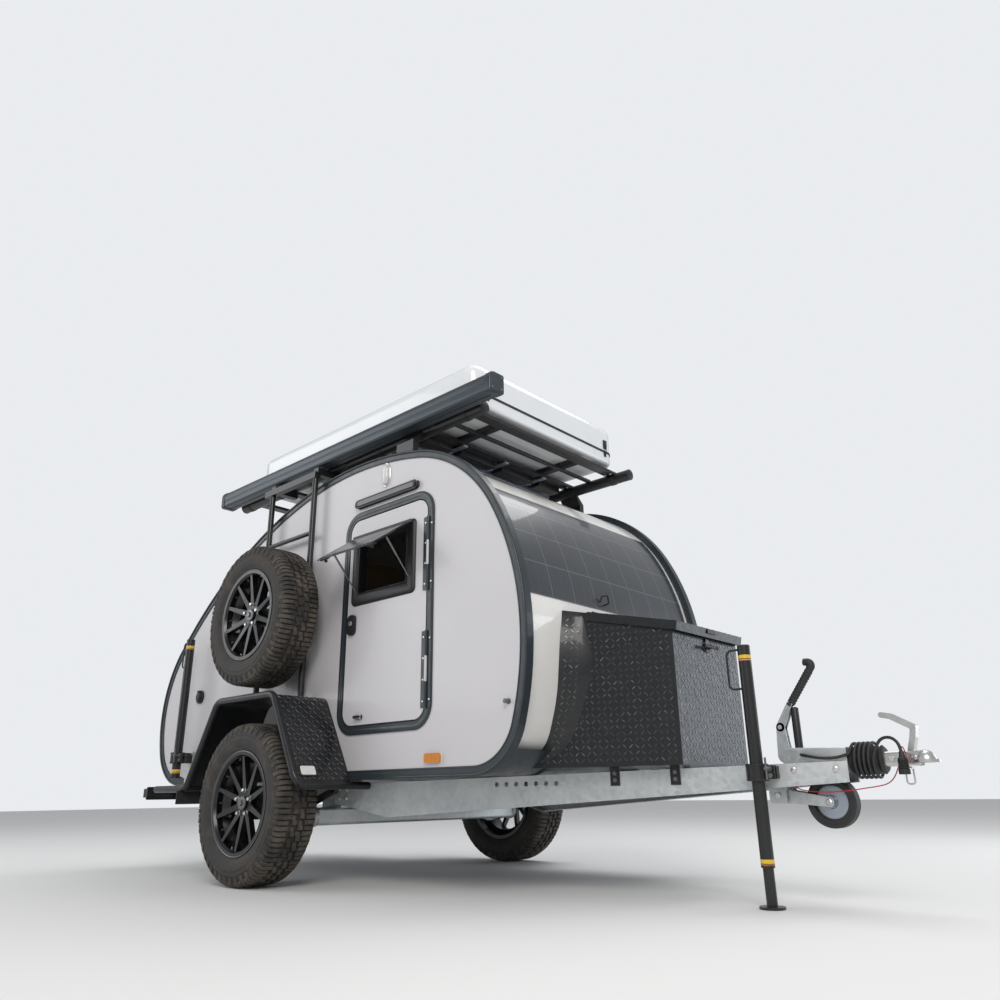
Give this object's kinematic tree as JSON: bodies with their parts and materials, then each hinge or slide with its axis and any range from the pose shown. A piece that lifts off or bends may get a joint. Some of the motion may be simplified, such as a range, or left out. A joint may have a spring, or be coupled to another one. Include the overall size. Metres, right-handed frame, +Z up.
{
  "type": "teardrop trailer",
  "caption": "Two-wheeled teardrop camping trailer with side doors, a rear kitchen hatch, a roof rack with a folded tent and an awning case, a spare wheel and a front box.",
  "frame": {"origin": "middle of the whole length and width, on the ground under the wheels", "axes": "+X towards the coupling, +Y to the trailer's left, +Z up"},
  "size_m": [4.29, 2.06, 2.432],
  "materials": {
    "shell": "satin light grey panel",
    "roof_white": "glossy white skin",
    "trim_black": "dark grey profile",
    "interior": "plywood",
    "window": "dark tinted pane in a black frame",
    "galvanised": "hot-dip galvanised",
    "black_steel": "black powder coat",
    "chequer": "black chequer plate",
    "tyre": "all-terrain tread",
    "rim": "gloss black alloy",
    "brake": "dark cast iron",
    "awning": "anthracite case",
    "rack": "black bars",
    "tent_shell": "white shell",
    "rubber": "black rubber",
    "solar": "flexible solar cells",
    "lamp": "clear lenses in black frames",
    "amber_lamp": "amber lens",
    "red_lamp": "red and amber lenses",
    "lead": "black cable",
    "red_cable": "red coated cable",
    "zinc": "zinc plated"
  },
  "bodies": {
    "trailer": {"floor_pan": "trim_black", "wall_left": "shell", "wall_right": "shell", "wall_trims": "trim_black", "roof_skin": "roof_white", "galley": "interior", "drawbar": "galvanised", "chassis": "galvanised", "axle": "galvanised", "shock_absorbers": "black_steel", "overrun_housing": "galvanised", "bellows": "rubber", "coupling_head": "zinc", "coupling_handle": "zinc", "handbrake_lever": "galvanised", "fender_left": "chequer", "fender_right": "chequer", "mud_flaps": "rubber", "spare_tyre": "tyre", "spare_rim": "rim", "posts_left": "black_steel", "posts_right": "black_steel", "roof_rack": "rack", "rack_slats": "rack", "rack_feet": "rack", "awning_case": "awning", "tent_base": "tent_shell", "front_box": "chequer", "stand_clamps": "black_steel", "solar_panel": "solar", "side_lamps": "lamp", "marker_lamps": "amber_lamp", "tail_beam": "black_steel", "tail_lamps": "red_lamp", "lead_coil": "lead", "lead_run": "lead", "lead_tail": "lead", "lead_plug": "lead", "breakaway_cable": "red_cable", "snap_hook": "zinc"},
    "wheel_left": {"tyre_left": "tyre", "rim_left": "rim", "drum_left": "brake"},
    "wheel_right": {"tyre_right": "tyre", "rim_right": "rim", "drum_right": "brake"},
    "door_left": {"door_left": "shell", "window_left": "window"},
    "door_right": {"door_right": "shell", "window_right": "window"},
    "hatch": {"hatch": "roof_white"},
    "box_lid": {"box_lid": "chequer"},
    "tent_lid": {"tent_lid": "tent_shell"},
    "front_stand": {"front_stand": "black_steel"},
    "rear_stand_left": {"rear_stand_left": "black_steel"},
    "rear_stand_right": {"rear_stand_right": "black_steel"},
    "jockey_leg": {"jockey_leg": "galvanised"},
    "jockey_wheel": {"jockey_wheel": "rubber"}
  },
  "joints": [
    {"name": "wheel_left_spin", "type": "hinge", "parent": "trailer", "child": "wheel_left", "pos_m": [-0.643, 0.905, 0.363], "axis": [0, 1, 0], "continuous": true},
    {"name": "wheel_right_spin", "type": "hinge", "parent": "trailer", "child": "wheel_right", "pos_m": [-0.643, -0.905, 0.363], "axis": [0, 1, 0], "continuous": true},
    {"name": "door_left_hinge", "type": "hinge", "parent": "trailer", "child": "door_left", "pos_m": [0.321, 0.714, 1.2], "axis": [0, 0, -1], "range_deg": [0, 170]},
    {"name": "door_right_hinge", "type": "hinge", "parent": "trailer", "child": "door_right", "pos_m": [0.321, -0.714, 1.2], "axis": [0, 0, 1], "range_deg": [0, 110]},
    {"name": "hatch_hinge", "type": "hinge", "parent": "trailer", "child": "hatch", "pos_m": [-1.0755, 0, 1.84191], "axis": [0, 1, 0], "range_deg": [0, 48]},
    {"name": "box_lid_hinge", "type": "hinge", "parent": "trailer", "child": "box_lid", "pos_m": [0.967, 0, 1.11721], "axis": [0, -1, 0], "range_deg": [0, 95]},
    {"name": "tent_lid_hinge", "type": "hinge", "parent": "trailer", "child": "tent_lid", "pos_m": [-1.396, 0, 2.2655], "axis": [0, -1, 0], "range_deg": [0, 32]},
    {"name": "front_stand_slide", "type": "slide", "parent": "trailer", "child": "front_stand", "axis": [0, 0, 1], "range_m": [0, 0.3]},
    {"name": "rear_stand_left_slide", "type": "slide", "parent": "trailer", "child": "rear_stand_left", "axis": [0, 0, -1], "range_m": [0, 0.48]},
    {"name": "rear_stand_right_slide", "type": "slide", "parent": "trailer", "child": "rear_stand_right", "axis": [0, 0, -1], "range_m": [0, 0.48]},
    {"name": "jockey_leg_pivot", "type": "hinge", "parent": "trailer", "child": "jockey_leg", "pos_m": [1.572, 0, 0.372], "axis": [0, 1, 0], "range_deg": [0, 90]},
    {"name": "jockey_wheel_spin", "type": "hinge", "parent": "jockey_leg", "child": "jockey_wheel", "pos_m": [1.759, 0, 0.347], "axis": [0, 1, 0], "continuous": true}
  ]
}
